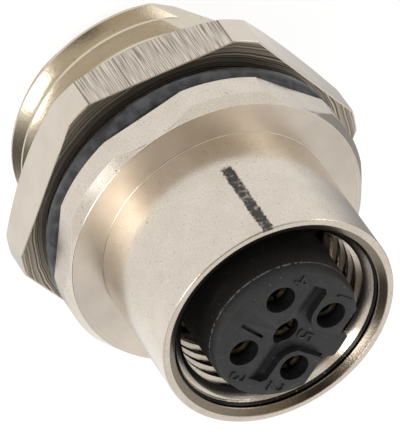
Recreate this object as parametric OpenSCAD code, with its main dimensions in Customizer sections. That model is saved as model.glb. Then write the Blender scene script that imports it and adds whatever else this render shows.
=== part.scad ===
// Round five-way panel socket: a plated metal housing with a smooth front sleeve, a hex
// flange with turned corners and a rear fixing thread, a locking nut and a panel seal on
// that thread, and a moulded insert that carries five turned socket contacts.
// Millimetres. +Z runs along the connector towards the mating end, z = 0 is the wiring end
// of the housing, and the coding key of the insert points along +X.

/* [Housing] */
// Length of the metal housing from its wiring end to its rim
shell_length = 20.6; // [20:0.1:24]
// Outside diameter of the smooth front sleeve
sleeve_d = 14.1; // [13.8:0.1:15]
// Distance from the rim back to the front face of the flange
sleeve_length = 8.3; // [7.6:0.1:8.6]
// Diameter of the rim's opening, at the mouth of its inner chamfer
rim_bore_d = 13.4; // [13:0.1:13.5]
// Depth of the rim's inner chamfer
entry_chamfer = 0.22; // [0.1:0.02:0.4]
// Diameter of the plain entry ahead of the coupling thread
entry_d = 12.4; // [12.2:0.1:12.6]
// Depth of that entry, from the rim to the foot of its wall
entry_depth = 0.45; // [0.3:0.05:0.8]
// Size of the small chamfer round the outside of the rim
rim_chamfer = 0.15; // [0.05:0.05:0.25]
// Nominal diameter of the coupling thread inside the sleeve
coupling_thread_d = 12; // [11.8:0.1:12.2]
// Pitch of the coupling thread
coupling_pitch = 1; // [0.75:0.25:1.25]
// Depth of the open space inside the sleeve, from the rim
socket_depth = 7.4; // [6.4:0.1:7.6]
// Width of the undercut at the bottom of that space, where the coupling thread ends
undercut_w = 2; // [1:0.1:2.4]
// Thickness of the wall that the insert bears on, at the bottom of that space
web_thickness = 1.4; // [1:0.1:1.6]
// Diameter of the rear bore that holds the insert and its holder
rear_bore_d = 12.4; // [12.2:0.1:12.6]

/* [Flange] */
// Width of the flange across its flats
flange_af = 18; // [17.5:0.1:19]
// Thickness of the flange
flange_thickness = 2.1; // [1.6:0.1:2.4]
// How far the turned corners stand out beyond the flats
flange_corner_excess = 0.35; // [0.15:0.05:0.9]
// Axial depth of the chamfer round the flange's front face
flange_chamfer = 0.6; // [0.2:0.1:0.9]

/* [Fixing thread] */
// Nominal diameter of the fixing thread behind the flange
panel_thread_d = 16; // [15.6:0.1:16.4]
// Pitch of the fixing thread
panel_pitch = 1.5; // [1:0.25:1.5]
// Distance from the axis to the flat milled along the thread
thread_flat = 7; // [6.8:0.05:7.5]
// Depth of the relief next to the flange, under the seal
relief_depth = 0.1; // [0.1:0.05:0.3]
// Size of the chamfer at the wiring end
rear_chamfer = 0.7; // [0.4:0.1:1]

/* [Nut] */
// Width of the nut across its flats
nut_af = 19; // [18.5:0.1:20]
// Thickness of the nut
nut_thickness = 2.9; // [2:0.1:3.4]
// How far the turned corners of the nut stand out beyond its flats
nut_corner_excess = 1.05; // [0.5:0.05:1.3]
// Axial depth of the chamfer round the nut's rear face
nut_chamfer = 0.75; // [0.3:0.05:1]
// Clear distance between the flange and the nut
nut_gap = 1.8; // [1.7:0.1:2.6]
// Angle that the nut is turned from the flange
nut_angle = -14; // [-30:1:30]
// Radial clearance between the nut and the fixing thread
nut_clearance = 0.05; // [0.03:0.01:0.09]
// Axial clearance between the nut's faces and the ends of the thread it engages
nut_end_clearance = 0.1; // [0.08:0.01:0.2]
// Chamfer at both mouths of the nut's hole
nut_hole_chamfer = 0.6; // [0.2:0.1:0.7]

/* [Panel seal] */
// Thickness of the rubber ring
panel_seal_t = 1.4; // [1:0.1:1.6]
// Radial clearance between the rubber ring and the relief groove
panel_seal_gap = 0.05; // [0.02:0.01:0.15]

/* [Insert] */
// Diameter of the insert's neck
insert_d = 8.86; // [8.7:0.02:9.1]
// How far the insert's face stands out of the rim
insert_proud = 1.1; // [0.5:0.1:1.3]
// Width of the sloping edge round the face
face_edge_w = 0.2; // [0.1:0.02:0.4]
// Depth of the sloping edge round the face
face_edge_h = 0.7; // [0.3:0.05:0.8]
// Diameter of the circle that the four outer contacts stand on
contact_circle_d = 5.35; // [5.3:0.05:5.5]
// Diameter of the holes in the face
entry_hole_d = 1.75; // [1.7:0.01:1.8]
// Distance from the axis to the flat beside the key
key_flat = 3.25; // [3.1:0.05:3.6]
// Width of the key
key_w = 1.6; // [1.2:0.1:1.8]
// Reach of the key from the axis
key_reach = 4.38; // [4.2:0.02:4.4]
// Radius of the key's two outer corners
key_corner = 0.3; // [0.1:0.05:0.5]
// Depth of the recess in the face, at the foot of the two raised islands
sunk_depth = 0.5; // [0.2:0.05:0.8]
// Radius of each raised island round its contact, beside the key
island_r = 1.2; // [1.05:0.05:1.25]
// Distance from the axis to where the recess starts to slope down from the face
ramp_start = 0.55; // [0.4:0.05:1.2]
// Length of that slope
ramp_length = 0.9; // [0.4:0.1:1.2]
// Reach of the recess from the axis, to both sides
recess_reach = 3.35; // [2.6:0.05:3.6]
// Width of the fine slit opposite the key, half as deep as the recess
fine_slit_w = 0.2; // [0.1:0.05:0.3]
// Distance of that slit's middle from the insert's middle line
fine_slit_shift = 0.45; // [0.3:0.05:0.6]
// Length of that slit
fine_slit_length = 2; // [1:0.1:2.4]
// Diameter of the insert's rear collar
collar_d = 12.3; // [11.8:0.05:12.35]
// Thickness of the insert's rear collar
collar_t = 1.8; // [1.4:0.1:2]

/* [Insert seal and holder] */
// Thickness of the flat seal between the insert and the housing
insert_seal_t = 0.6; // [0.4:0.1:0.8]
// Radial clearance of that seal round the insert's neck and inside the collar's edge
insert_seal_gap = 0.3; // [0.1:0.05:0.5]
// Length of the contact holder behind the insert
holder_length = 4.4; // [3:0.1:4.6]
// Thickness of the ring that retains the holder
ring_t = 1; // [0.6:0.1:1.2]
// Width of that ring, between its hole and the rear bore
ring_w = 1; // [0.7:0.05:1.1]

/* [Contacts] */
// Outside diameter of a contact's socket
contact_d = 1.6; // [1.5:0.02:1.66]
// Bore of a contact, for the mating pin
contact_bore_d = 1.04; // [0.9:0.02:1.1]
// Depth of that bore
contact_bore_depth = 6; // [4:0.5:7]
// Distance from the face down to the mouth of the contacts
contact_setback = 0.9; // [0.8:0.05:1.4]
// Width of the slit that makes the socket springy
contact_slit = 0.2; // [0.1:0.05:0.25]
// Length of that slit
contact_slit_length = 4; // [2:0.5:4.5]
// Diameter of the collar that traps the contact between insert and holder
contact_collar_d = 2.1; // [1.9:0.05:2.2]
// Diameter of the shank behind the collar
contact_shank_d = 1.2; // [1:0.05:1.3]
// Diameter of the solder cup
cup_d = 1.8; // [1.6:0.05:1.9]
// Bore of the solder cup
cup_bore_d = 1.3; // [1.2:0.05:1.4]
// Length of the solder cup
cup_length = 2.2; // [1.8:0.1:2.4]
// Thickness of the floor that closes the solder cup's bore
cup_floor = 0.5; // [0.3:0.1:0.6]
// Length of bare shank between the holder and the solder cup
shank_free = 1.2; // [0.6:0.1:1.6]

/* [Hidden] */
$fn = 96;
eps = 0.01;

// levels along the axis
flange_front = shell_length - sleeve_length;
flange_rear = flange_front - flange_thickness;
nut_front = flange_rear - nut_gap;
nut_rear = nut_front - nut_thickness;
web_front = shell_length - socket_depth;
web_rear = web_front - web_thickness;
collar_front = web_rear - insert_seal_t;
collar_rear = collar_front - collar_t;
holder_rear = collar_rear - holder_length;
face = shell_length + insert_proud;
sunk_floor = face - sunk_depth;
contact_mouth = face - contact_setback;
cup_top = holder_rear - shank_free;
cup_foot = cup_top - cup_length;
past = 2 * face;              // a cutter this long passes right through

// minor diameter of the coupling thread
coupling_minor_d = coupling_thread_d - 1.0825 * coupling_pitch;
relief_r = panel_thread_d / 2 - relief_depth;
// radius at which the nut's thread and the fixing thread meet, halfway up their flanks
engaged_r = panel_thread_d / 2 - 0.3248 * panel_pitch;
clear_r = 0.05;               // small working clearance between fitted parts
collar_depth = 0.45;          // half height of the contact's collar
plated = "#D2C8BC";
black = "#3C3B3E";
rubber = "#33323A";
gold = "#C8B07A";

// contact 1 to 4 stand clockwise round the axis seen from the mating side, 5 in the middle
function contact_xy(n) = n == 5 ? [0, 0]
    : contact_circle_d / 2 * [cos(45 - 90 * (n - 1)), sin(45 - 90 * (n - 1))];

// ring of rectangular section between two radii and two levels
module ring(r_in, r_out, z0, z1) {
    rotate_extrude() translate([r_in, z0]) square([r_out - r_in, z1 - z0]);
}

// hexagonal prism, flats at 30, 90 and 150 degrees
module hex_prism(af, z0, z1) {
    translate([0, 0, z0]) cylinder(d = af / cos(30), h = z1 - z0, $fn = 6);
}

// turned outside of the housing's front half: the sleeve with its rim chamfer
module sleeve_blank() {
    rotate_extrude() polygon([[0, flange_front - eps], [sleeve_d / 2, flange_front - eps],
        [sleeve_d / 2, shell_length - rim_chamfer], [sleeve_d / 2 - rim_chamfer, shell_length],
        [0, shell_length]]);
}

// hex flange: a prism cut by a turned disc whose front edge is a cone
module flange_blank() {
    r0 = flange_af / 2;
    r1 = r0 + flange_corner_excess;
    intersection() {
        hex_prism(flange_af, flange_rear, flange_front);
        rotate_extrude() polygon([[0, flange_rear], [r1, flange_rear],
            [r1, flange_front - flange_chamfer], [r0 - 0.02, flange_front], [0, flange_front]]);
    }
}

// fixing barrel, plain at the crest of its thread, and at the middle of its flanks where the
// nut engages it, with the relief and the milled flat
module barrel_blank() {
    r = panel_thread_d / 2;
    difference() {
        rotate_extrude() polygon([[0, 0], [r - rear_chamfer, 0], [r, rear_chamfer],
            [r, nut_rear - nut_end_clearance], [engaged_r, nut_rear - nut_end_clearance],
            [engaged_r, nut_front + nut_end_clearance], [relief_r, nut_front + nut_end_clearance],
            [relief_r, flange_rear + eps], [0, flange_rear + eps]]);
        translate([-r - 1, thread_flat, -1]) cube([2 * r + 2, r, flange_rear + 1]);
    }
}

// metal housing: one turned and milled piece
module housing() {
    minor_r = coupling_minor_d / 2;
    entry_foot = shell_length - entry_depth;
    color(plated) difference() {
        union() {
            barrel_blank();
            flange_blank();
            sleeve_blank();
        }
        // mating side: rim chamfer, plain entry, lead-in cone, thread bore, undercut at the bottom
        rotate_extrude() polygon([[0, web_front], [coupling_thread_d / 2 + 0.1, web_front],
            [coupling_thread_d / 2 + 0.1, web_front + undercut_w], [minor_r, web_front + undercut_w + 0.4],
            [minor_r, entry_foot - entry_d / 2 + minor_r], [entry_d / 2, entry_foot],
            [entry_d / 2, shell_length - entry_chamfer], [rim_bore_d / 2, shell_length],
            [rim_bore_d / 2, shell_length + 1], [0, shell_length + 1]]);
        // neck hole in the web and the rear bore
        translate([0, 0, web_rear - 1]) cylinder(d = insert_d + 2 * clear_r, h = web_thickness + 2);
        translate([0, 0, -1]) cylinder(d = rear_bore_d, h = web_rear + 1);
    }
}

// locking nut: flat front face, turned corners, chamfered rear face
module hex_nut() {
    r0 = nut_af / 2;
    r1 = r0 + nut_corner_excess;
    hole_r = engaged_r + nut_clearance;
    c = nut_hole_chamfer;
    color(plated) rotate([0, 0, nut_angle]) difference() {
        intersection() {
            hex_prism(nut_af, nut_rear, nut_front);
            rotate_extrude() polygon([[0, nut_rear], [r0 - 0.05, nut_rear],
                [r1, nut_rear + nut_chamfer], [r1, nut_front], [0, nut_front]]);
        }
        translate([0, 0, nut_rear - 1]) cylinder(r = hole_r, h = nut_thickness + 2);
        translate([0, 0, nut_rear - eps]) cylinder(r1 = hole_r + c, r2 = hole_r, h = c);
        translate([0, 0, nut_front - c + eps]) cylinder(r1 = hole_r, r2 = hole_r + c, h = c);
    }
}

// rubber ring that lies against the back of the flange
module panel_seal() {
    r = panel_seal_t / 2;
    color(rubber) translate([0, 0, flange_rear - r])
        rotate_extrude() translate([relief_r + panel_seal_gap + r, 0]) circle(r = r, $fn = 32);
}

// plan of the recess in the insert's face: it runs across the face and out to the key, and
// leaves an island round each of the two contacts beside the key
module recess_plan() {
    edge = contact_xy(1)[0] - island_r;
    difference() {
        union() {
            translate([-ramp_start, -recess_reach]) square([ramp_start + edge, 2 * recess_reach]);
            translate([0, -contact_xy(1)[1]]) square([contact_xy(1)[0], 2 * contact_xy(1)[1]]);
            translate([0, -key_w / 2]) square([insert_d, key_w]);
        }
        for (n = [1, 2]) translate(contact_xy(n)) circle(r = island_r);
    }
}

// recess in the face: a slope that ends in a flat floor, inside that plan, and a fine slit
module face_recess() {
    intersection() {
        translate([0, 0, -1]) linear_extrude(sunk_depth + 2) recess_plan();
        rotate([90, 0, 0]) translate([0, 0, -insert_d]) linear_extrude(2 * insert_d)
            polygon([[-ramp_start, sunk_depth], [ramp_length - ramp_start, 0], [insert_d, 0],
                [insert_d, sunk_depth + 0.5], [-ramp_start, sunk_depth + 0.5]]);
    }
    translate([-ramp_start - 0.8 - fine_slit_length, -fine_slit_shift - fine_slit_w / 2, sunk_depth / 2])
        cube([fine_slit_length, fine_slit_w, sunk_depth]);
}

// neck of the insert with its key: one flat on the key's side, the key at the sunk level
module insert_neck() {
    r = insert_d / 2;
    difference() {
        rotate_extrude() polygon([[0, collar_front - eps], [r, collar_front - eps],
            [r, face - face_edge_h], [r - face_edge_w, face], [0, face]]);
        translate([key_flat, -r, web_front + 0.5]) cube([r, 2 * r, insert_d * 2]);
    }
    intersection() {
        translate([0, 0, web_front]) linear_extrude(sunk_floor - web_front) {
            translate([0, -key_w / 2]) square([key_reach - key_corner, key_w]);
            translate([0, key_corner - key_w / 2]) square([key_reach, key_w - 2 * key_corner]);
            for (side = [-1, 1]) translate([key_reach - key_corner, side * (key_w / 2 - key_corner)])
                circle(r = key_corner);
        }
        translate([0, 0, web_front - 1]) cylinder(r = key_reach, h = past);
    }
}

// moulded contact insert: collar, neck, stepped face and five straight holes
module contact_insert() {
    color(black) difference() {
        union() {
            translate([0, 0, collar_rear]) cylinder(d = collar_d, h = collar_t);
            insert_neck();
        }
        translate([0, 0, sunk_floor]) face_recess();
        for (n = [1:5]) translate([contact_xy(n)[0], contact_xy(n)[1], 0]) {
            translate([0, 0, collar_rear - 1]) cylinder(d = entry_hole_d, h = past);
            translate([0, 0, collar_rear - eps])
                cylinder(d = contact_collar_d + 2 * clear_r, h = collar_depth + eps);
        }
    }
}

// flat rubber seal between the insert's collar and the housing's web
module insert_seal() {
    color(rubber) ring(insert_d / 2 + insert_seal_gap, collar_d / 2 - insert_seal_gap / 3,
        collar_front, web_rear);
}

// moulded disc that carries the contacts behind the insert
module contact_holder() {
    color(black) difference() {
        translate([0, 0, holder_rear]) cylinder(d = collar_d, h = holder_length);
        for (n = [1:5]) translate([contact_xy(n)[0], contact_xy(n)[1], 0]) {
            translate([0, 0, holder_rear - 1]) cylinder(d = contact_shank_d + 2 * clear_r, h = past);
            translate([0, 0, collar_rear - collar_depth])
                cylinder(d = contact_collar_d + 2 * clear_r, h = past);
        }
    }
}

// metal ring that holds the stack in the rear bore
module retaining_ring() {
    r = rear_bore_d / 2 - clear_r / 2;
    color(plated) ring(r - ring_w, r, holder_rear - ring_t, holder_rear);
}

// turned contact: slit socket at the mating end, collar, shank and an open solder cup
module contact(n) {
    side = n == 5 ? 0 : 45 - 90 * (n - 1);
    color(gold) translate([contact_xy(n)[0], contact_xy(n)[1], 0]) rotate([0, 0, side])
    difference() {
        union() {
            translate([0, 0, cup_foot]) cylinder(d = cup_d, h = cup_length);
            translate([0, 0, cup_top - eps])
                cylinder(d = contact_shank_d, h = collar_rear - cup_top + eps);
            translate([0, 0, collar_rear - collar_depth])
                cylinder(d = contact_collar_d, h = 2 * collar_depth);
            translate([0, 0, collar_rear]) cylinder(d = contact_d, h = contact_mouth - collar_rear);
        }
        translate([0, 0, contact_mouth - contact_bore_depth])
            cylinder(d = contact_bore_d, h = contact_bore_depth + 1);
        translate([-contact_d, -contact_slit / 2, contact_mouth - contact_slit_length])
            cube([2 * contact_d, contact_slit, contact_slit_length + 1]);
        translate([0, 0, cup_top - cup_floor - cup_length])
            cylinder(d = cup_bore_d, h = cup_length);
        translate([0, -cup_d, cup_top - 2 * cup_floor - cup_length])
            cube([cup_d, 2 * cup_d, cup_length]);
    }
}

module contact_1() { contact(1); }
module contact_2() { contact(2); }
module contact_3() { contact(3); }
module contact_4() { contact(4); }
module contact_5() { contact(5); }

housing();
hex_nut();
panel_seal();
contact_insert();
insert_seal();
contact_holder();
retaining_ring();
contact_1();
contact_2();
contact_3();
contact_4();
contact_5();
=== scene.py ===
import math

import bmesh
import bpy
from mathutils import Matrix, Vector


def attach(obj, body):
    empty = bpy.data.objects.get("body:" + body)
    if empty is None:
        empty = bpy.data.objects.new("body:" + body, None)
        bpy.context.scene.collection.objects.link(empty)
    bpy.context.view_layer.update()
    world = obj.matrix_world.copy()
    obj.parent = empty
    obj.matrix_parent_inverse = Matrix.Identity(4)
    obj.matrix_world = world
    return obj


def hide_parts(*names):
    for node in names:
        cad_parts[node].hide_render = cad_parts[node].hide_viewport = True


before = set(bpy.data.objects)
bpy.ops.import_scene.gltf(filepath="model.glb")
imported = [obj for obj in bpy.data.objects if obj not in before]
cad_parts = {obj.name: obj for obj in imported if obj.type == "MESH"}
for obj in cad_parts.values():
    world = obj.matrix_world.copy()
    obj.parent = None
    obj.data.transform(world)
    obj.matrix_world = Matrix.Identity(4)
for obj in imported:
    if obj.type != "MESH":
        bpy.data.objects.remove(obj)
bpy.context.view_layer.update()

# --- Camera -------------------------------------------------------------------------------
# A long lens a third of a metre away looks down on the mating end from 44 degrees. The camera
# is rolled over, so that the connector's mating end comes down towards the lower right.

mm = 0.001
scene = bpy.context.scene
scene.view_settings.view_transform = "Standard"

view_azimuth, view_elevation, view_roll = 151.3856, 44.3720, 145.3666
view_distance = 316.69 * mm
aim = Vector((-0.177, -0.283, 10.48)) * mm


def direction(azimuth, elevation):
    """Unit vector towards an azimuth and an elevation, in degrees."""
    a, e = math.radians(azimuth), math.radians(elevation)
    return Vector((math.cos(e) * math.cos(a), math.cos(e) * math.sin(a), math.sin(e)))


back = direction(view_azimuth, view_elevation)
level = Vector((0, 0, 1)).cross(back).normalized()
upward = back.cross(level)
roll = math.radians(view_roll)
across = math.cos(roll) * level + math.sin(roll) * upward

camera_data = bpy.data.cameras.new("camera")
camera_data.lens = 461.18
camera_data.sensor_width = 36.0
camera_data.clip_start = 0.02
camera = bpy.data.objects.new("camera", camera_data)
scene.collection.objects.link(camera)
camera.matrix_world = (Matrix.Translation(aim + view_distance * back)
                       @ Matrix((across, back.cross(across), back)).transposed().to_4x4())
scene.camera = camera


# --- Studio -------------------------------------------------------------------------------
# A pale table in a white room with a dim warm ceiling: the plating shows the white walls and
# the table, and the turned faces pick the ceiling up as tan. Two soft boxes light it.

def add(tree, kind, sockets=None, **settings):
    """Adds one node with its settings, and sets or links its input sockets.

    A node given for a socket stands for its first output in use.
    """
    node = tree.nodes.new(kind)
    for key, value in settings.items():
        setattr(node, key, value)
    for key, value in (sockets or {}).items():
        if isinstance(value, bpy.types.Node):
            value = next(socket for socket in value.outputs if socket.enabled)
        if isinstance(value, bpy.types.NodeSocket):
            tree.links.new(value, node.inputs[key])
        else:
            node.inputs[key].default_value = value
    return node


def srgb(code):
    """Turns an sRGB hex colour into the linear colour that a socket takes."""
    parts = [int(code[i:i + 2], 16) / 255 for i in (1, 3, 5)]
    return tuple(c / 12.92 if c <= 0.04045 else ((c + 0.055) / 1.055) ** 2.4
                 for c in parts) + (1.0,)


def set_stops(ramp, *stops):
    """Sets a ramp's two stops, each a position and a colour."""
    for element, (position, colour) in zip(ramp.color_ramp.elements, stops):
        element.position, element.color = position, colour


def seen_directly(tree):
    """The kinds of ray, and 1 where the eye looks, straight or through glass."""
    path = add(tree, "ShaderNodeLightPath").outputs
    either = add(tree, "ShaderNodeMath", {0: path["Is Camera Ray"], 1: path["Is Transmission Ray"]},
                 operation="MAXIMUM")
    return path, either


warm_white = (1.0, 0.99, 0.97, 1)
pure_white = (1.0, 1.0, 1.0, 1)

world = bpy.data.worlds.new("room")
scene.world = world
world.use_nodes = True
tree = world.node_tree
tree.nodes.clear()
path, direct = seen_directly(tree)
ways = add(tree, "ShaderNodeTexCoord").outputs["Generated"]
# dim warm ceiling, above and a little behind the camera
up = add(tree, "ShaderNodeVectorMath", {0: ways, 1: direction(view_azimuth, 72.474)},
         operation="DOT_PRODUCT")
ceiling = add(tree, "ShaderNodeValToRGB", {"Fac": up})
set_stops(ceiling, (0.60, warm_white), (0.86, srgb("#C6B9A4")))
# darker strip of ceiling over the camera, across the room
strip_middle, strip_inner, strip_outer = -0.02, 0.10, 0.26
beside = add(tree, "ShaderNodeVectorMath", {0: ways, 1: direction(view_azimuth + 90, 0)},
             operation="DOT_PRODUCT")
beside = add(tree, "ShaderNodeMath", {0: beside, 1: strip_middle}, operation="SUBTRACT")
beside = add(tree, "ShaderNodeMath", {0: beside}, operation="ABSOLUTE")
strip = add(tree, "ShaderNodeMapRange", {"Value": beside, "From Min": strip_inner,
                                         "From Max": strip_outer, "To Min": 1.0, "To Max": 0.0})
high = add(tree, "ShaderNodeMapRange", {"Value": up, "From Min": 0.55, "From Max": 0.75})
both = add(tree, "ShaderNodeMath", {0: strip, 1: high}, operation="MULTIPLY")
room = add(tree, "ShaderNodeMix", {"Factor": both, "A": ceiling, "B": srgb("#3B352F")},
           data_type="RGBA")
# unlit doorway beside the key lamp, white wall behind the camera, bright window beside it:
# each is whole out to the cosine "inner" from its direction, and fades away by "outer"
for azimuth, elevation, inner, outer, colour in (
        (268, 43.781, 0.96766, 0.91251, srgb("#57524C")),
        (151, 43, 0.985, 0.955, pure_white),
        (193, 20, 0.99, 0.975, (2.0, 2.0, 2.0, 1))):
    close = add(tree, "ShaderNodeVectorMath", {0: ways, 1: direction(azimuth, elevation)},
                operation="DOT_PRODUCT")
    close = add(tree, "ShaderNodeMapRange", {"Value": close, "From Min": outer, "From Max": inner})
    room = add(tree, "ShaderNodeMix", {"Factor": close, "A": room, "B": colour}, data_type="RGBA")
lit = add(tree, "ShaderNodeBackground", {"Color": room, "Strength": 1.0})
soft = add(tree, "ShaderNodeBackground", {"Color": warm_white, "Strength": 0.6})
white = add(tree, "ShaderNodeBackground", {"Color": pure_white, "Strength": 1.0})
mirrored = add(tree, "ShaderNodeMixShader", {0: path["Is Glossy Ray"], 1: soft, 2: lit})
shown = add(tree, "ShaderNodeMixShader", {0: direct, 1: mirrored, 2: white})
add(tree, "ShaderNodeOutputWorld", {"Surface": shown})


def start_finish(name):
    """A new material, and its empty node tree."""
    finish = bpy.data.materials.new(name)
    finish.use_nodes = True
    finish.node_tree.nodes.clear()
    return finish, finish.node_tree


table_half = 2.0
table_mesh = bpy.data.meshes.new("table")
table_mesh.from_pydata([(-table_half, -table_half, 0), (table_half, -table_half, 0),
                        (table_half, table_half, 0), (-table_half, table_half, 0)],
                       [], [(0, 1, 2, 3)])
table = bpy.data.objects.new("table", table_mesh)
table.data.transform(Matrix.Translation((0, 0, -0.02 * mm)))
scene.collection.objects.link(table)
paper, tree = start_finish("white_paper")
path, direct = seen_directly(tree)
# paper that shows nearly white, and keeps a faint shadow where the part stands
sheet_colour = add(tree, "ShaderNodeBsdfDiffuse", {"Color": (0.25, 0.25, 0.25, 1)})
sheet_glow = add(tree, "ShaderNodeEmission", {"Color": pure_white, "Strength": 0.86})
bright = add(tree, "ShaderNodeAddShader", {0: sheet_colour, 1: sheet_glow})
plain = add(tree, "ShaderNodeBsdfDiffuse", {"Color": (0.8, 0.8, 0.79, 1)})
# what the plating mirrors of the sheet, with painted shade and painted light in its glow:
# dimmer towards one side of the part, as if shaded there, and whiter again further out towards
# another
where = add(tree, "ShaderNodeNewGeometry").outputs["Position"]
shaded_way = add(tree, "ShaderNodeVectorMath", {0: where, 1: (0.87, -0.5, 0)},
                 operation="DOT_PRODUCT")
# painted shade: the sheet's glow falls from 0.86 to 0.15 towards one side of the part
painted_sheet_shade = add(tree, "ShaderNodeMapRange", {"Value": shaded_way, "From Min": -2 * mm,
                                         "From Max": 16 * mm, "To Min": 0.86, "To Max": 0.15})
white_way = add(tree, "ShaderNodeVectorMath", {0: where, 1: (0, -1, 0)}, operation="DOT_PRODUCT")
# painted light: the glow rises again to 0.95 further out
painted_sheet_light = add(tree, "ShaderNodeMapRange", {"Value": white_way, "From Min": 16 * mm,
                                          "From Max": 22 * mm})
glow = add(tree, "ShaderNodeMix", {"Factor": painted_sheet_light, "A": painted_sheet_shade, "B": 0.95}, data_type="FLOAT")
mirror_glow = add(tree, "ShaderNodeEmission", {"Color": pure_white, "Strength": glow})
mirror_bright = add(tree, "ShaderNodeAddShader", {0: sheet_colour, 1: mirror_glow})
unlit = add(tree, "ShaderNodeMixShader", {0: path["Is Glossy Ray"], 1: plain, 2: mirror_bright})
paper_shown = add(tree, "ShaderNodeMixShader", {0: direct, 1: unlit, 2: bright})
add(tree, "ShaderNodeOutputMaterial", {"Surface": paper_shown})
table.data.materials.append(paper)

lamp_aim = Vector((0, 0, 11 * mm))


def soft_box(name, one_end, other_end, distance, width, power):
    """A lamp that faces the connector and reaches from one direction to another."""
    middle = (one_end + other_end).normalized()
    along = (other_end - one_end).normalized()
    lamp = bpy.data.lights.new(name, "AREA")
    lamp.shape = "RECTANGLE"
    lamp.size = 2 * distance * math.tan(one_end.angle(other_end) / 2)
    lamp.size_y = width
    lamp.energy = power
    holder = bpy.data.objects.new(name, lamp)
    scene.collection.objects.link(holder)
    holder.matrix_world = (Matrix.Translation(lamp_aim + distance * middle)
                           @ Matrix((along, middle.cross(along), middle)).transposed().to_4x4())


soft_box("key_lamp", direction(200, 41), direction(262, 68), 0.45, 0.13, 0.85)
soft_box("fill_lamp", direction(50, 40), direction(75, 40), 0.6, 0.30, 0.22)


# --- Housing ------------------------------------------------------------------------------
# One piece of brass, turned from hexagon bar, milled flat along one side of the fixing
# thread, and nickel plated all over. Both threads are cut into it.

shell_length = 20.6
sleeve_r = 7.05
flange_front, flange_rear = 12.3, 10.2
flange_flat_r, flange_corner_r, flange_ring_r = 9.0, 9.35, 8.95
flange_chamfer, flange_break = 0.6, 0.06
thread_crest_r, thread_root_r, thread_pitch = 8.0, 7.28, 1.5
ridge_end, relief_rear, relief_front, relief_r = 8.3, 8.0, 8.4, 7.9
milled_flat = 7.0
rear_chamfer = 0.7
rim_bore_r, entry_r, entry_chamfer, entry_depth = 6.66, 6.2, 0.22, 0.45
coupling_major_r, coupling_minor_r, coupling_pitch = 6.0, 5.459, 1.0
lead_in_length, undercut_w, undercut_depth = 0.75, 2.0, 0.1
web_front, web_rear = 13.2, 11.8
neck_hole_r, rear_bore_r = 4.48, 6.2


def hexagon_r(angle, flat_r, corner_r, turn=30.0):
    """Radius of a hexagon with turned corners; turn is the direction of one flat, in degrees."""
    off_flat = (math.degrees(angle) - turn + 30.0) % 60.0 - 30.0
    return min(flat_r / math.cos(math.radians(off_flat)), corner_r)


def evenly(count):
    """Angles spread evenly round the axis."""
    return [2 * math.pi * i / count for i in range(count)]


def columns(count, flat_r, corner_r, turn=30.0):
    """Angles round the axis, with one exactly on each edge between a flat and a turned corner."""
    half = math.degrees(math.acos(flat_r / corner_r))
    edges = [math.radians((turn + 60 * k + s * half) % 360) for k in range(6) for s in (-1, 1)]
    gap = math.pi / count
    return sorted([a for a in evenly(count)
                   if all(abs((a - e + math.pi) % (2 * math.pi) - math.pi) > gap for e in edges)]
                  + edges)


def new_piece(name, mesh):
    """An object that holds a mesh, in the scene."""
    piece = bpy.data.objects.new(name, mesh)
    scene.collection.objects.link(piece)
    return piece


def orient(piece):
    """Merges the doubled points of a closed piece, and turns every face of it outwards."""
    shape = bmesh.new()
    shape.from_mesh(piece.data)
    bmesh.ops.remove_doubles(shape, verts=shape.verts, dist=1e-5)
    bmesh.ops.recalc_face_normals(shape, faces=shape.faces)
    shape.to_mesh(piece.data)
    shape.free()
    return piece


def turned_piece(name, angles, section):
    """Closed ring of skin: section is a list of rows, each giving r and z in mm for an angle."""
    verts, faces = [], []
    rows, count = len(section), len(angles)
    for angle in angles:
        for row in section:
            r, z = row(angle) if callable(row) else row
            verts.append((r * math.cos(angle), r * math.sin(angle), z))
    for c in range(count):
        for i in range(rows):
            j, d = (i + 1) % rows, (c + 1) % count
            faces.append((c * rows + i, d * rows + i, d * rows + j, c * rows + j))
    mesh = bpy.data.meshes.new(name)
    mesh.from_pydata(verts, [], faces)
    return orient(new_piece(name, mesh))


def fit_out(piece, body, slot, *stands_for):
    """Brings a piece drawn in millimetres to its real size and hangs it on its body."""
    piece.data.transform(Matrix.Scale(mm, 4))
    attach(piece, body)
    if stands_for:
        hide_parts(*stands_for)


def shade_smooth(piece, sharp_from=180):
    """Shades a piece smooth, but for edges sharper than an angle in degrees."""
    for face in piece.data.polygons:
        face.use_smooth = True
    if sharp_from < 180:
        piece.data.set_sharp_from_angle(angle=math.radians(sharp_from))


def made_plain(item):
    """The mesh that an object comes to, once its text or its modifiers are worked out."""
    bpy.context.view_layer.update()
    return bpy.data.meshes.new_from_object(
        item.evaluated_get(bpy.context.evaluated_depsgraph_get()))


def settle(piece):
    """Applies what modifiers the piece has, and leaves it as a plain mesh."""
    done = made_plain(piece)
    piece.modifiers.clear()
    old, piece.data = piece.data, done
    done.name = piece.name
    bpy.data.meshes.remove(old)
    return piece


def machine(piece, tool, operation):
    """Joins, cuts or trims the piece with a tool solid, and puts the tool away."""
    step = piece.modifiers.new("tool", "BOOLEAN")
    step.operation, step.object, step.solver = operation, tool, "EXACT"
    settle(piece)
    bpy.data.objects.remove(tool)


def from_shape(name, shape):
    """A piece made from a shape that is finished."""
    mesh = bpy.data.meshes.new(name)
    shape.to_mesh(mesh)
    shape.free()
    return new_piece(name, mesh)


def block(name, low, high):
    """A box between two corners, in mm."""
    shape = bmesh.new()
    bmesh.ops.create_cube(shape, size=1.0)
    for v in shape.verts:
        v.co = Vector([low[i] if v.co[i] < 0 else high[i] for i in range(3)])
    return from_shape(name, shape)


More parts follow.
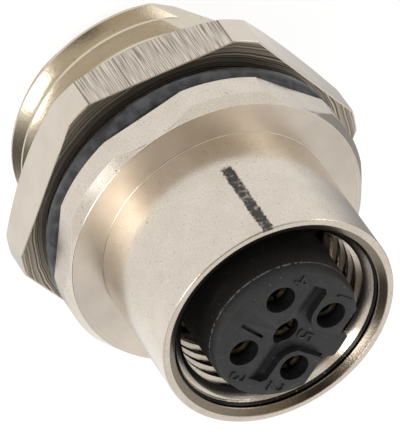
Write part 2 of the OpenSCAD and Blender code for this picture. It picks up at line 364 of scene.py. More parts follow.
def start_shape_tree(name, sockets):
    """Geometry nodes with named inputs: gives the tree and the outputs of its inputs."""
    tree = bpy.data.node_groups.new(name, "GeometryNodeTree")
    for label, kind in sockets:
        tree.interface.new_socket(label, in_out="INPUT", socket_type="NodeSocket" + kind)
    tree.interface.new_socket("Geometry", in_out="OUTPUT", socket_type="NodeSocketGeometry")
    return tree, add(tree, "NodeGroupInput").outputs


def end_shape_tree(tree, result, finish):
    """Ends a tree with plain geometry in one finish."""
    real = add(tree, "GeometryNodeRealizeInstances", {"Geometry": result})
    coat = add(tree, "GeometryNodeSetMaterial", {"Geometry": real, "Material": finish})
    add(tree, "NodeGroupOutput", {"Geometry": coat})


def grow(name, tree, sizes, mesh=None):
    """Makes a plain mesh from a geometry tree, with its named sizes."""
    piece = new_piece(name, mesh or bpy.data.meshes.new(name))
    step = piece.modifiers.new("shape", "NODES")
    step.node_group = tree
    for item in tree.interface.items_tree:
        if item.in_out == "INPUT" and item.name in sizes:
            step[item.identifier] = sizes[item.name]
    return settle(piece)


# one screw thread: a tapered ridge swept along a helix
threads, size = start_shape_tree("screw_thread", [("Geometry", "Geometry")] + [
    (label, "Float") for label in ("Root Radius", "Crest Radius", "Pitch", "Root Width",
                                   "Crest Width", "Turns", "Start Level", "Start Angle")]
    + [("Finish", "Material")])
height = add(threads, "ShaderNodeMath", {0: size["Pitch"], 1: size["Turns"]}, operation="MULTIPLY")
helix = add(threads, "GeometryNodeCurveSpiral", {
    "Resolution": 120, "Rotations": size["Turns"], "Start Radius": size["Root Radius"],
    "End Radius": size["Root Radius"], "Height": height, "Reverse": True})
steady = add(threads, "GeometryNodeSetCurveNormal", {"Curve": helix}, mode="Z_UP")
# the ridge's section: four corners, taken along the helix
depth = add(threads, "ShaderNodeMath", {0: size["Crest Radius"], 1: size["Root Radius"]},
            operation="SUBTRACT")
corners = {}
for corner, width, part, out in ((1, "Root Width", -0.5, 0.0), (2, "Crest Width", -0.5, depth),
                                 (3, "Crest Width", 0.5, depth), (4, "Root Width", 0.5, 0.0)):
    along = add(threads, "ShaderNodeMath", {0: size[width], 1: part}, operation="MULTIPLY")
    corners["Point %d" % corner] = add(threads, "ShaderNodeCombineXYZ", {"X": out, "Y": along})
ridge = add(threads, "GeometryNodeCurvePrimitiveQuadrilateral", corners, mode="POINTS")
skin = add(threads, "GeometryNodeCurveToMesh", {"Curve": steady, "Profile Curve": ridge,
                                                "Fill Caps": True})
turn = add(threads, "ShaderNodeCombineXYZ", {"Z": size["Start Angle"]})
lift = add(threads, "ShaderNodeCombineXYZ", {"Z": size["Start Level"]})
placed = add(threads, "GeometryNodeTransform", {"Geometry": skin, "Translation": lift,
                                                "Rotation": turn})
end_shape_tree(threads, placed, size["Finish"])


def round_axis(tree):
    """Where a point of the part is, and its distance from the axis."""
    spot = add(tree, "ShaderNodeTexCoord").outputs["Object"]
    flat_spot = add(tree, "ShaderNodeVectorMath", {0: spot, 1: (1, 1, 0)}, operation="MULTIPLY")
    return spot, add(tree, "ShaderNodeVectorMath", {0: flat_spot}, operation="LENGTH")


# nickel plate over turned brass, barrel polished: warm grey metal with a soft gleam, small
# specks and a faint cloudiness. The index mark on the sleeve is a roughened dark stripe.
plate, tree = start_finish("nickel_plate_polished")
spot, out = round_axis(tree)
up = add(tree, "ShaderNodeSeparateXYZ", {"Vector": spot}).outputs["Z"]
# each noise's scale is 1 over the real size of what it draws: 1.4 mm clouds, 0.11 mm grain,
# 0.15 mm specks and 0.07 mm salt, the finest that shows (real plating is finer still)
cloud = add(tree, "ShaderNodeTexNoise", {"Vector": spot, "Scale": 700.0, "Detail": 3.0})
grain = add(tree, "ShaderNodeTexNoise", {"Vector": spot, "Scale": 9000.0, "Detail": 2.0})
specks = add(tree, "ShaderNodeTexNoise", {"Vector": spot, "Scale": 6500.0, "Detail": 1.0})
salt = add(tree, "ShaderNodeTexNoise", {"Vector": spot, "Scale": 14000.0, "Detail": 1.0})
tint = add(tree, "ShaderNodeValToRGB", {"Fac": cloud})
set_stops(tint, (0.3, srgb("#D0C6B9")), (0.7, srgb("#D9D0C5")))
speck = add(tree, "ShaderNodeMapRange", {"Value": specks, "From Min": 0.70, "From Max": 0.80})
salt = add(tree, "ShaderNodeMapRange", {"Value": salt, "From Min": 0.3, "From Max": 0.7,
                                        "To Max": 0.42})
grained = add(tree, "ShaderNodeMix", {"Factor": salt, "A": tint, "B": srgb("#AFA597")},
              data_type="RGBA")
# painted shade, black: in the roots of the inner thread, over the run-out of its crests in
# the lead-in, and at the foot of the plain wall just inside the rim
lead_in_foot = shell_length - entry_depth - lead_in_length
root_from, root_full = coupling_major_r - 0.26, coupling_major_r - 0.08
shade_low, shade_high = web_front - 0.05, lead_in_foot - 0.05
run_out_foot, run_out_fade = lead_in_foot + 0.02, lead_in_foot + 0.24
run_out_end = lead_in_foot + 0.42
painted_shade = add(tree, "ShaderNodeMapRange", {"Value": out, "From Min": root_from * mm,
                                       "From Max": root_full * mm})
in_sleeve = add(tree, "ShaderNodeMath", {0: out, 1: (entry_r + 0.05) * mm}, operation="LESS_THAN")
low_down = add(tree, "ShaderNodeMath", {0: up, 1: shade_high * mm}, operation="LESS_THAN")
high_up = add(tree, "ShaderNodeMath", {0: up, 1: shade_low * mm}, operation="GREATER_THAN")
for limit in (in_sleeve, low_down, high_up):
    painted_shade = add(tree, "ShaderNodeMath", {0: painted_shade, 1: limit}, operation="MULTIPLY")
run_out = add(tree, "ShaderNodeMapRange", {"Value": up, "From Min": run_out_fade * mm,
                                           "From Max": run_out_end * mm,
                                           "To Min": 0.85, "To Max": 0.0})
over_crest = add(tree, "ShaderNodeMath", {0: up, 1: run_out_foot * mm}, operation="GREATER_THAN")
for limit in (over_crest, in_sleeve):
    run_out = add(tree, "ShaderNodeMath", {0: run_out, 1: limit}, operation="MULTIPLY")
at_wall = add(tree, "ShaderNodeMath", {0: out, 1: (entry_r - 0.04) * mm, 2: 0.1 * mm},
              operation="COMPARE")
at_foot = add(tree, "ShaderNodeMath", {0: up, 1: (shell_length - entry_depth - 0.02) * mm,
                                       2: 0.15 * mm}, operation="COMPARE")
wall_shade = add(tree, "ShaderNodeMath", {0: at_wall, 1: at_foot}, operation="MULTIPLY")
for place in (run_out, wall_shade):
    painted_shade = add(tree, "ShaderNodeMath", {0: painted_shade, 1: place}, operation="MAXIMUM")
# painted shade: near black mixed into the plate's colour in the roots, run-out and wall foot
shaded_plate = add(tree, "ShaderNodeMix", {"Factor": painted_shade, "A": grained, "B": srgb("#2C2A28")},
            data_type="RGBA")
# painted shade, brown and speckled, on the rim's inner chamfer
near_mouth = add(tree, "ShaderNodeMath", {0: up, 1: (shell_length - entry_chamfer - 0.05) * mm},
                 operation="GREATER_THAN")
in_mouth = add(tree, "ShaderNodeMath", {0: out, 1: (rim_bore_r - 0.03) * mm}, operation="LESS_THAN")
mouth_shade = add(tree, "ShaderNodeMath", {0: near_mouth, 1: in_mouth}, operation="MULTIPLY")
mouth_shade_tint = add(tree, "ShaderNodeMix", {"Factor": salt, "A": srgb("#887F72"), "B": srgb("#4E473D")},
                data_type="RGBA")
# painted shade: the chamfer's colour turns brown
mouth_shaded = add(tree, "ShaderNodeMix", {"Factor": mouth_shade, "A": shaded_plate, "B": mouth_shade_tint}, data_type="RGBA")
# and yellower towards the rear end, on the fixing thread behind the nut
cast_full, cast_end = 5.2, 5.5
cast = add(tree, "ShaderNodeMapRange", {"Value": up, "From Min": cast_full * mm,
                                        "From Max": cast_end * mm, "To Min": 0.55, "To Max": 0.0})
yellowed = add(tree, "ShaderNodeMix", {"Factor": cast, "A": mouth_shaded, "B": srgb("#CCC1A9")},
           data_type="RGBA")
metal_tint = add(tree, "ShaderNodeMix", {"Factor": speck, "A": yellowed, "B": srgb("#8F8577")},
                 data_type="RGBA")
# index mark: how far a point stands to the side of the mark's middle line, with ragged edges
mark_angle, mark_half_w, mark_foot, mark_ragged = 131.5, 0.31, 14.9, 0.06
beside = add(tree, "ShaderNodeVectorMath", {0: spot, 1: direction(mark_angle + 90, 0)},
             operation="DOT_PRODUCT")
ahead = add(tree, "ShaderNodeVectorMath", {0: spot, 1: direction(mark_angle, 0)},
            operation="DOT_PRODUCT")
ragged = add(tree, "ShaderNodeTexNoise", {"Vector": spot, "Scale": 5200.0, "Detail": 2.0})
ragged = add(tree, "ShaderNodeMapRange", {
    "Value": ragged, "From Min": 0.3, "From Max": 0.7, "To Min": -mark_ragged * mm,
    "To Max": mark_ragged * mm})
beside = add(tree, "ShaderNodeMath", {0: beside}, operation="ABSOLUTE")
beside = add(tree, "ShaderNodeMath", {0: beside, 1: ragged}, operation="ADD")
mark = add(tree, "ShaderNodeMapRange", {
    "Value": beside, "From Min": (mark_half_w - 0.03) * mm, "From Max": (mark_half_w + 0.05) * mm,
    "To Min": 1.0, "To Max": 0.0})
in_front = add(tree, "ShaderNodeMath", {0: ahead, 1: (sleeve_r - 0.15) * mm},
               operation="GREATER_THAN")
foot = add(tree, "ShaderNodeMath", {0: up, 1: ragged}, operation="ADD")
over_foot = add(tree, "ShaderNodeMapRange", {"Value": foot, "From Min": (mark_foot - 0.1) * mm,
                                             "From Max": (mark_foot + 0.1) * mm})
for limit in (in_front, over_foot):
    mark = add(tree, "ShaderNodeMath", {0: mark, 1: limit}, operation="MULTIPLY")
pits = add(tree, "ShaderNodeTexNoise", {"Vector": spot, "Scale": 3600.0, "Detail": 4.0})   # 0.28 mm
pit_tint = add(tree, "ShaderNodeValToRGB", {"Fac": pits})
set_stops(pit_tint, (0.52, srgb("#4D4A48")), (0.72, srgb("#9C968D")))
colour = add(tree, "ShaderNodeMix", {"Factor": mark, "A": metal_tint, "B": pit_tint},
             data_type="RGBA")
sheen = add(tree, "ShaderNodeMapRange", {"Value": grain, "To Min": 0.14, "To Max": 0.26})
dullness = add(tree, "ShaderNodeMix", {"Factor": mark, "A": sheen, "B": 0.5})
relief = add(tree, "ShaderNodeMath", {0: pits, 1: mark}, operation="MULTIPLY")
relief = add(tree, "ShaderNodeMath", {0: relief, 1: 3.0}, operation="MULTIPLY")
relief = add(tree, "ShaderNodeMath", {0: relief, 1: grain}, operation="ADD")
surface = add(tree, "ShaderNodeBump", {"Height": relief, "Strength": 0.25, "Distance": 0.02 * mm})
shader = add(tree, "ShaderNodeBsdfPrincipled", {"Base Color": colour, "Metallic": 1.0,
                                                "Roughness": dullness, "Normal": surface})
add(tree, "ShaderNodeOutputMaterial", {"Surface": shader})

# the same plate on a lathe-faced surface: rings left by the tool spread the gleam into fans
# that run out from the axis. They are drawn 0.12 mm apart, coarser than real, so that they show
ring_gap = 0.12
faced, tree = start_finish("nickel_plate_lathe_faced")
spot, out = round_axis(tree)
ring = add(tree, "ShaderNodeMath", {0: out, 1: 1 / (ring_gap * mm)}, operation="MULTIPLY")
ring_line = add(tree, "ShaderNodeTexNoise", {"W": ring, "Scale": 1.0, "Detail": 2.0},
                noise_dimensions="1D")
cloud = add(tree, "ShaderNodeTexNoise", {"Vector": spot, "Scale": 700.0, "Detail": 3.0})
tint = add(tree, "ShaderNodeValToRGB", {"Fac": cloud})
set_stops(tint, (0.3, srgb("#D5CBBF")), (0.7, srgb("#DDD4C8")))
rings = add(tree, "ShaderNodeBump", {"Height": ring_line, "Strength": 0.3, "Distance": 0.02 * mm})
along = add(tree, "ShaderNodeTangent", direction_type="RADIAL", axis="Z")
shader = add(tree, "ShaderNodeBsdfPrincipled", {
    "Base Color": tint, "Metallic": 1.0, "Roughness": 0.32, "Anisotropic": 0.75,
    "Normal": rings, "Tangent": along})
add(tree, "ShaderNodeOutputMaterial", {"Surface": shader})


def flange_edge(angle):
    """How far out the flange reaches, towards an angle."""
    return hexagon_r(angle, flange_flat_r, flange_corner_r)


def chamfer_level(angle):
    """Where the flange's front chamfer meets its side, towards an angle."""
    fall = flange_chamfer / (flange_corner_r - flange_ring_r)
    return flange_front - fall * (flange_edge(angle) - flange_ring_r)


round_off = [(1 - math.cos(math.radians(a)), 1 - math.sin(math.radians(a)))
             for a in (0, 30, 60, 90)]
entry_level = shell_length - entry_chamfer
thread_level = shell_length - entry_depth
section = [(rear_bore_r + 0.1, 0.0), (thread_root_r - 0.1, 0.0), (thread_root_r, 0.1),
           (thread_root_r, relief_rear), (relief_r, relief_front), (relief_r, flange_rear)]
for x, y in round_off:        # rear edge of the flange, broken a little
    section.append(lambda a, x=x, y=y: (flange_edge(a) - flange_break * y,
                                        flange_rear + flange_break * x))
section += [
    lambda a: (flange_edge(a), chamfer_level(a) - 0.1),
    lambda a: (flange_edge(a) - 0.02, chamfer_level(a) - 0.03),
    lambda a: (max(flange_edge(a) - 0.07, flange_ring_r + 0.01), chamfer_level(a) + 0.04),
    (flange_ring_r + 0.004, flange_front - 0.012), (flange_ring_r - 0.02, flange_front),
    (sleeve_r + 0.04, flange_front), (sleeve_r + 0.012, flange_front + 0.012),
    (sleeve_r, flange_front + 0.04),
    (sleeve_r, shell_length - 0.12), (sleeve_r - 0.02, shell_length - 0.05),
    (sleeve_r - 0.06, shell_length - 0.01), (sleeve_r - 0.1, shell_length),
    (rim_bore_r + 0.02, shell_length), (rim_bore_r - 0.02, shell_length - 0.015),
    (entry_r + 0.05, entry_level + 0.015), (entry_r, entry_level - 0.03),
    (entry_r, thread_level), (coupling_major_r, thread_level - 0.2),
    (coupling_major_r, web_front + undercut_w + undercut_depth),
    (coupling_major_r + undercut_depth, web_front + undercut_w),
    (coupling_major_r + undercut_depth, web_front), (neck_hole_r, web_front),
    (neck_hole_r, web_rear), (rear_bore_r, web_rear), (rear_bore_r, 0.1)]
housing = turned_piece("housing_plated", columns(240, flange_flat_r, flange_corner_r), section)
housing.data.materials.append(plate)
housing.data.materials.append(faced)

# fixing thread, trimmed to the chamfered barrel, then milled flat with the barrel
barrel_ridge = orient(grow("barrel_ridge", threads, {
    "Root Radius": thread_root_r - 0.04, "Crest Radius": thread_crest_r, "Pitch": thread_pitch,
    "Root Width": 1.18, "Crest Width": 0.16, "Turns": 8.0, "Start Level": -2.751,
    "Start Angle": 0.0, "Finish": plate}))
ridge_r, ridge_core_r = thread_crest_r + 0.001, 5.0
barrel_envelope = turned_piece("barrel_envelope", evenly(240), [
    (ridge_core_r, 0.02), (thread_crest_r - rear_chamfer + 0.02, 0.02), (ridge_r, rear_chamfer),
    (ridge_r, ridge_end), (ridge_core_r, ridge_end)])
machine(barrel_ridge, barrel_envelope, "INTERSECT")
machine(housing, barrel_ridge, "UNION")
milling_cutter = block("milling_cutter", (-9, milled_flat, -1), (9, 12, flange_rear))
machine(housing, milling_cutter, "DIFFERENCE")

# coupling thread inside the sleeve, cut back by the lead-in at the rim
sleeve_ridge = orient(grow("sleeve_ridge", threads, {
    "Root Radius": coupling_major_r + 0.03, "Crest Radius": coupling_minor_r,
    "Pitch": coupling_pitch, "Root Width": 0.9, "Crest Width": 0.34, "Turns": 8.0,
    "Start Level": 13.7, "Start Angle": 0.0, "Finish": plate}))
sleeve_envelope = turned_piece("sleeve_envelope", evenly(240), [
    (ridge_core_r, web_front + undercut_w), (entry_r, web_front + undercut_w),
    (entry_r, thread_level - 0.01), (coupling_minor_r - 0.02, lead_in_foot),
    (ridge_core_r, lead_in_foot)])
machine(sleeve_ridge, sleeve_envelope, "INTERSECT")
machine(housing, sleeve_ridge, "UNION")

for face in housing.data.polygons:
    reach = math.hypot(face.center.x, face.center.y)
    on_face = (abs(face.center.z - flange_front) < 0.005
               and sleeve_r + 0.03 < reach < flange_ring_r and face.normal.z > 0.9)
    face.material_index = 1 if on_face else 0
shade_smooth(housing, 12)
fit_out(housing, "housing_body", "plated_housing", "housing")


# --- Locking nut --------------------------------------------------------------------------
# Hexagon nut, turned and milled from brass and nickel plated: front face torn by a worn tool,
# corners turned round, rear edge chamfered. One flat keeps the chatter of a worn cutter.

nut_front, nut_rear = 8.4, 5.5
nut_flat_r, nut_corner_r = 9.5, 10.55
nut_chamfer, nut_break = 0.75, 0.11
nut_hole_r, nut_hole_chamfer = 8.05, 0.4
nut_turn = 30.0 - 14.0

# milled nickel plate: a satin gleam, a little cloudy. The chattered flat faces this way, and
# its dark lines run along the axis and vary from line to line
chatter_way = nut_turn + 120
chatter_low, chatter_step, chatter_high = -4.4, 1.9, 4.5
milled, tree = start_finish("nickel_plate_milled")
spot = add(tree, "ShaderNodeTexCoord").outputs["Object"]
up = add(tree, "ShaderNodeSeparateXYZ", {"Vector": spot}).outputs["Z"]
sideways = add(tree, "ShaderNodeVectorMath", {0: spot, 1: direction(chatter_way + 90, 0)},
               operation="DOT_PRODUCT")
outwards = add(tree, "ShaderNodeVectorMath", {0: spot, 1: direction(chatter_way, 0)},
               operation="DOT_PRODUCT")
slow = add(tree, "ShaderNodeMath", {0: up, 1: 0.02}, operation="MULTIPLY")
lines_at = add(tree, "ShaderNodeCombineXYZ", {"X": sideways, "Y": slow})
chatter = add(tree, "ShaderNodeTexNoise", {           # lines 0.05 mm wide
    "Vector": lines_at, "Scale": 20000.0, "Detail": 1.5, "Roughness": 0.6})
on_flat = add(tree, "ShaderNodeMath", {0: outwards, 1: (nut_flat_r - 0.03) * mm},
              operation="GREATER_THAN")
upper = add(tree, "ShaderNodeMath", {0: sideways, 1: chatter_high * mm}, operation="LESS_THAN")
lower = add(tree, "ShaderNodeMath", {0: sideways, 1: chatter_low * mm}, operation="GREATER_THAN")
chattered = add(tree, "ShaderNodeMath", {0: on_flat, 1: upper}, operation="MULTIPLY")
chattered = add(tree, "ShaderNodeMath", {0: chattered, 1: lower}, operation="MULTIPLY")
deep = add(tree, "ShaderNodeMath", {0: chatter, 1: chattered}, operation="MULTIPLY")
grain = add(tree, "ShaderNodeTexNoise", {"Vector": spot, "Scale": 7000.0, "Detail": 2.0})  # 0.14 mm
faint = add(tree, "ShaderNodeMath", {0: grain, 1: 0.06}, operation="MULTIPLY")
height = add(tree, "ShaderNodeMath", {0: deep, 1: faint}, operation="ADD")
cuts = add(tree, "ShaderNodeBump", {"Height": height, "Strength": 0.8, "Distance": 0.02 * mm})
dirt = add(tree, "ShaderNodeMapRange", {"Value": chatter, "From Min": 0.34, "From Max": 0.58,
                                        "To Min": 1.0, "To Max": 0.0})
dirt = add(tree, "ShaderNodeMath", {0: dirt, 1: chattered}, operation="MULTIPLY")
for border in (chatter_low, chatter_step, chatter_high):     # deeper where the cutter stopped
    stop = add(tree, "ShaderNodeMath", {0: sideways, 1: border * mm, 2: 0.04 * mm},
               operation="COMPARE")
    stop = add(tree, "ShaderNodeMath", {0: stop, 1: on_flat}, operation="MULTIPLY")
    dirt = add(tree, "ShaderNodeMath", {0: dirt, 1: stop}, operation="MAXIMUM")
cloud = add(tree, "ShaderNodeTexNoise", {"Vector": spot, "Scale": 600.0, "Detail": 3.0})   # 1.7 mm
tint = add(tree, "ShaderNodeValToRGB", {"Fac": cloud})
set_stops(tint, (0.3, srgb("#CBC1B4")), (0.7, srgb("#D3CABE")))
colour = add(tree, "ShaderNodeMix", {"Factor": dirt, "A": tint, "B": srgb("#7F766A")},
             data_type="RGBA")
shader = add(tree, "ShaderNodeBsdfPrincipled", {"Base Color": colour, "Metallic": 1.0,
                                                "Roughness": 0.26, "Normal": cuts})
add(tree, "ShaderNodeOutputMaterial", {"Surface": shader})

# the nut's front face, turned with a worn tool: torn rings 0.1 mm apart, dark in the grooves
tear_gap = 0.1
torn, tree = start_finish("nickel_plate_torn")
spot, out = round_axis(tree)
ring = add(tree, "ShaderNodeMath", {0: out, 1: 1 / (tear_gap * mm)}, operation="MULTIPLY")
wander = add(tree, "ShaderNodeTexNoise", {"Vector": spot, "Scale": 350.0, "Detail": 2.0})  # 3 mm
wander = add(tree, "ShaderNodeMath", {0: wander, 1: 5.0}, operation="MULTIPLY")
ring = add(tree, "ShaderNodeMath", {0: ring, 1: wander}, operation="ADD")
ring_line = add(tree, "ShaderNodeTexNoise", {"W": ring, "Scale": 1.0, "Detail": 2.5,
                                             "Roughness": 0.6}, noise_dimensions="1D")
tint = add(tree, "ShaderNodeValToRGB", {"Fac": ring_line})
set_stops(tint, (0.40, srgb("#6B6256")), (0.62, srgb("#CFC5B6")))
rings = add(tree, "ShaderNodeBump", {"Height": ring_line, "Strength": 0.6, "Distance": 0.03 * mm})
shader = add(tree, "ShaderNodeBsdfPrincipled", {"Base Color": tint, "Metallic": 1.0,
                                                "Roughness": 0.42, "Normal": rings})
add(tree, "ShaderNodeOutputMaterial", {"Surface": shader})


def nut_edge(angle):
    """How far out the nut reaches, towards an angle."""
    return hexagon_r(angle, nut_flat_r, nut_corner_r, nut_turn)


def nut_rear_level(angle):
    """Where the nut's rear chamfer meets its side, towards an angle."""
    start = nut_flat_r - 0.05
    return nut_rear + nut_chamfer * (nut_edge(angle) - start) / (nut_corner_r - start)


section = [(nut_hole_r + nut_hole_chamfer, nut_rear), (nut_flat_r - 0.08, nut_rear),
           (nut_flat_r - 0.04, nut_rear + 0.01),
           lambda a: (nut_edge(a) - 0.03, nut_rear_level(a) - 0.01),
           lambda a: (nut_edge(a), nut_rear_level(a) + 0.03)]
for x, y in round_off:        # front edge, worn round
    section.append(lambda a, x=x, y=y: (nut_edge(a) - nut_break * x, nut_front - nut_break * y))
section += [(nut_hole_r + nut_hole_chamfer, nut_front), (nut_hole_r, nut_front - nut_hole_chamfer),
            (nut_hole_r, nut_rear + nut_hole_chamfer)]
nut = turned_piece("nut_plated", columns(240, nut_flat_r, nut_corner_r, nut_turn), section)
nut.data.materials.append(milled)
nut.data.materials.append(torn)
for face in nut.data.polygons:
    on_face = abs(face.center.z - nut_front) < 0.002 and face.normal.z > 0.9
    face.material_index = 1 if on_face else 0
shade_smooth(nut, 12)
fit_out(nut, "nut_body", "plated_nut", "hex_nut")


# --- Panel seal ---------------------------------------------------------------------------
# Moulded rubber ring, dull black with a grey bloom, stretched over the barrel behind the
# flange. The rubber is soft to look at: a low gleam, and a skin of fine bumps.

seal_r, seal_ring_r = 0.7, 8.65

rubber, tree = start_finish("moulded_rubber")
spot = add(tree, "ShaderNodeTexCoord").outputs["Object"]
bloom = add(tree, "ShaderNodeTexNoise", {"Vector": spot, "Scale": 1300.0, "Detail": 5.0})  # 0.8 mm
tint = add(tree, "ShaderNodeValToRGB", {"Fac": bloom})
set_stops(tint, (0.42, srgb("#1C1D20")), (0.62, srgb("#46474B")))
skin = add(tree, "ShaderNodeTexNoise", {"Vector": spot, "Scale": 6000.0, "Detail": 2.0})   # 0.17 mm
fine = add(tree, "ShaderNodeBump", {"Height": skin, "Strength": 0.3, "Distance": 0.02 * mm})
shader = add(tree, "ShaderNodeBsdfPrincipled", {"Base Color": tint, "Roughness": 0.36,
                                                "Normal": fine})
add(tree, "ShaderNodeOutputMaterial", {"Surface": shader})

section = [(seal_ring_r + seal_r * math.cos(math.radians(a)),
            flange_rear - seal_r + seal_r * math.sin(math.radians(a))) for a in range(0, 360, 12)]
seal = turned_piece("panel_seal_ring", evenly(192), section)
seal.data.materials.append(rubber)
shade_smooth(seal)
fit_out(seal, "housing_body", "seal_rubber", "panel_seal")


# --- Contact insert -----------------------------------------------------------------------
# Moulded in glass-filled plastic, dark grey and matt: a round neck with a flat and a key on
# one side, and a stepped face. The contacts' numbers stand up from the face by 0.08 mm.

face_level, sunk_depth = 21.7, 0.5
insert_r, face_r, edge_depth = 4.43, 4.23, 0.7
collar_rear, collar_front, collar_r = 9.4, 11.2, 6.15
key_flat, key_half_w, key_reach, key_corner = 3.25, 0.8, 4.38, 0.3
circle_r, hole_r, first_contact = 2.675, 0.875, 45
island_r, ramp_start, ramp_length, recess_reach, recess_corner = 1.2, 0.55, 0.9, 3.35, 0.25
slit_outline, slit_depth = [(-3.2, -0.14), (-3.2, -0.42), (-1.4, -0.72), (-1.4, -0.54)], 0.25
sunk, edge_level = face_level - sunk_depth, face_level - edge_depth
clear_of_face = 30            # well in front of the face, where cutting tools end

# dull plastic, a little blotchy, with painted shade, near black, below the mould line round the
# face's edge
plastic, tree = start_finish("glass_filled_plastic")
spot, out = round_axis(tree)
up = add(tree, "ShaderNodeSeparateXYZ", {"Vector": spot}).outputs["Z"]
mottle = add(tree, "ShaderNodeTexNoise", {"Vector": spot, "Scale": 1500.0, "Detail": 5.0})  # 0.7 mm
tint = add(tree, "ShaderNodeValToRGB", {"Fac": mottle})
set_stops(tint, (0.35, srgb("#131314")), (0.75, srgb("#202022")))
pores = add(tree, "ShaderNodeTexNoise", {"Vector": spot, "Scale": 5000.0, "Detail": 3.0})  # 0.2 mm
neck_shade = add(tree, "ShaderNodeMapRange", {"Value": up, "From Min": (edge_level - 0.15) * mm,
                                           "From Max": edge_level * mm,
                                           "To Min": 1.0, "To Max": 0.0})
# painted shade: the neck, down inside the sleeve, turns near black
tint = add(tree, "ShaderNodeMix", {"Factor": neck_shade, "A": tint, "B": srgb("#080808")},
           data_type="RGBA")
# dust on the face, and a painted highlight along the mould line, pale and ragged
dust = add(tree, "ShaderNodeTexNoise", {"Vector": spot, "Scale": 8000.0, "Detail": 1.0})   # 0.12 mm
dust = add(tree, "ShaderNodeMapRange", {"Value": dust, "From Min": 0.72, "From Max": 0.80,
                                        "To Max": 0.7})
at_edge = add(tree, "ShaderNodeMath", {0: out, 1: (insert_r - 0.04) * mm},
              operation="GREATER_THAN")
line = add(tree, "ShaderNodeMath", {0: up, 1: edge_level * mm}, operation="SUBTRACT")
line = add(tree, "ShaderNodeMath", {0: line}, operation="ABSOLUTE")
line = add(tree, "ShaderNodeMapRange", {"Value": line, "From Min": 0.02 * mm,
                                        "From Max": 0.07 * mm, "To Min": 1.0, "To Max": 0.0})
broken = add(tree, "ShaderNodeMapRange", {"Value": pores, "From Min": 0.42, "From Max": 0.55})
for limit in (at_edge, broken):
    line = add(tree, "ShaderNodeMath", {0: line, 1: limit}, operation="MULTIPLY")
dust_and_highlight = add(tree, "ShaderNodeMath", {0: line, 1: dust}, operation="MAXIMUM")
# the dust, and the painted highlight on the mould line, mixed in pale
tint = add(tree, "ShaderNodeMix", {"Factor": dust_and_highlight, "A": tint, "B": srgb("#77777A")},
           data_type="RGBA")
texture = add(tree, "ShaderNodeBump", {"Height": pores, "Strength": 0.5, "Distance": 0.03 * mm})
shader = add(tree, "ShaderNodeBsdfPrincipled", {"Base Color": tint, "Roughness": 0.5,
                                                "Normal": texture})
add(tree, "ShaderNodeOutputMaterial", {"Surface": shader})


def peg(name, x, y, radius, low, high, count=48):
    """An upright round bar, in mm."""
    shape = bmesh.new()
    bmesh.ops.create_cone(shape, cap_ends=True, segments=count, radius1=radius, radius2=radius,
                          depth=high - low, matrix=Matrix.Translation((x, y, (low + high) / 2)))
    return from_shape(name, shape)


def prism(name, outline, low, high, upright=True):
    """A straight bar with the given outline: in X and Y, or in X and Z from side to side."""
    shape = bmesh.new()
    ends = []
    for level in (low, high):
        corners = [(x, y, level) if upright else (x, level, y) for x, y in outline]
        ends.append(shape.faces.new([shape.verts.new(corner) for corner in corners]))
    count = len(outline)
    for i in range(count):
        j = (i + 1) % count
        shape.faces.new([ends[0].verts[i], ends[0].verts[j], ends[1].verts[j], ends[1].verts[i]])
    bmesh.ops.recalc_face_normals(shape, faces=shape.faces)
    return from_shape(name, shape)


insert = turned_piece("contact_insert_moulding", evenly(96), [
    (0.0, collar_rear), (collar_r, collar_rear), (collar_r, collar_front),
    (insert_r, collar_front), (insert_r, edge_level), (face_r, face_level), (0.0, face_level)])
side_cut = block("side_cut", (key_flat, -6, web_front + 0.2), (6, 6, clear_of_face))
machine(insert, side_cut, "DIFFERENCE")
# key: a block with rounded corners, trimmed to the circle that it reaches
nose = [(1.0, -key_half_w)]
nose += [(key_reach - key_corner + key_corner * math.sin(math.radians(a)),
          -key_half_w + key_corner - key_corner * math.cos(math.radians(a)))
         for a in range(0, 91, 15)]
nose = [(min(x, math.sqrt(key_reach ** 2 - y ** 2)), y) for x, y in nose]
nose += [(key_reach, 0)] + [(x, -y) for x, y in reversed(nose)]
machine(insert, prism("key", nose, web_front + 0.1, sunk), "UNION")
# recess: slopes down from the face, and leaves an island round each contact beside the key
off = circle_r * math.cos(math.radians(first_contact))
edge = off - island_r
plan = [(5.5, -key_half_w)]
start = math.degrees(math.acos((off - key_half_w) / island_r))
for step in range(10):
    turn = math.radians(90 + start + (90 - start) * step / 9)
    plan.append((off + island_r * math.cos(turn), -off + island_r * math.sin(turn)))
plan += [(edge, -recess_reach + recess_corner), (edge - recess_corner, -recess_reach),
         (-ramp_start, -recess_reach)]
plan += [(x, -y) for x, y in reversed(plan)]
recess = prism("recess", plan, sunk - 1, clear_of_face)
slope = prism("slope", [(-ramp_start, face_level), (ramp_length - ramp_start, sunk), (8, sunk),
                        (8, clear_of_face - 1), (-ramp_start, clear_of_face - 1)],
              -6, 6, upright=False)
machine(recess, slope, "INTERSECT")
machine(insert, recess, "DIFFERENCE")
fine_slit = prism("fine_slit", slit_outline, face_level - slit_depth, clear_of_face)
machine(insert, fine_slit, "DIFFERENCE")
holes = [(0.0, 0.0)]
for turn in (math.radians(first_contact + 90 * i) for i in range(4)):
    holes.append((circle_r * math.cos(turn), circle_r * math.sin(turn)))
for x, y in holes:
    machine(insert, peg("entry_hole", x, y, hole_r, collar_rear - 1, clear_of_face), "DIFFERENCE")
edges = insert.modifiers.new("edges", "BEVEL")
edges.width, edges.segments = 0.05, 2
edges.limit_method, edges.angle_limit = "ANGLE", math.radians(38)
settle(insert)
insert.data.materials.append(plastic)
shade_smooth(insert, 22)
fit_out(insert, "housing_body", "insert_plastic", "contact_insert")

